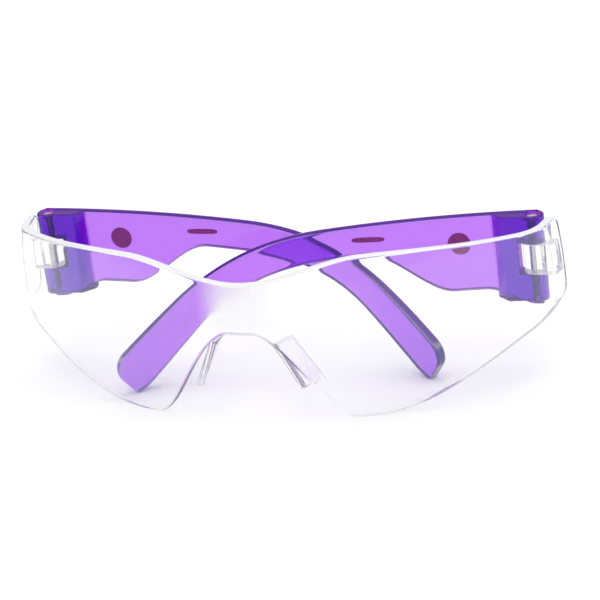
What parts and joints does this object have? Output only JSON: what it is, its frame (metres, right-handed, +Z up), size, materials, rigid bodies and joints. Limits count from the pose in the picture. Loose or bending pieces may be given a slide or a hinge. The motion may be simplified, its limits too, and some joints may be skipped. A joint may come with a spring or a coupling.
{
  "type": "wraparound safety spectacles",
  "caption": "Clear one-piece wraparound lens with moulded nose pads and two purple see-through arms folded behind it on screw hinges",
  "frame": {"origin": "on the floor, under the middle of the bounding box of the folded spectacles", "axes": "+X to the wearer's left and along the width, +Y from the lens towards the face, +Z up; the front of the lens faces -Y"},
  "size_m": [0.1448, 0.0444, 0.0424],
  "materials": {
    "clear_lens": "polished clear polycarbonate",
    "purple_arm": "see-through purple polycarbonate",
    "screw_steel": "plain steel"
  },
  "bodies": {
    "shield": {"lens_shield": "clear_lens"},
    "left_arm": {"left_temple": "purple_arm", "left_hinge_screw": "screw_steel"},
    "right_arm": {"right_temple": "purple_arm", "right_hinge_screw": "screw_steel"}
  },
  "joints": [
    {"name": "left_hinge", "type": "hinge", "parent": "shield", "child": "left_arm", "pos_m": [0.0651, 0.01918, 0.029], "axis": [0, 0, -1], "range_deg": [0, 100]},
    {"name": "right_hinge", "type": "hinge", "parent": "shield", "child": "right_arm", "pos_m": [-0.0651, 0.01918, 0.029], "axis": [0, 0, 1], "range_deg": [0, 93]}
  ]
}
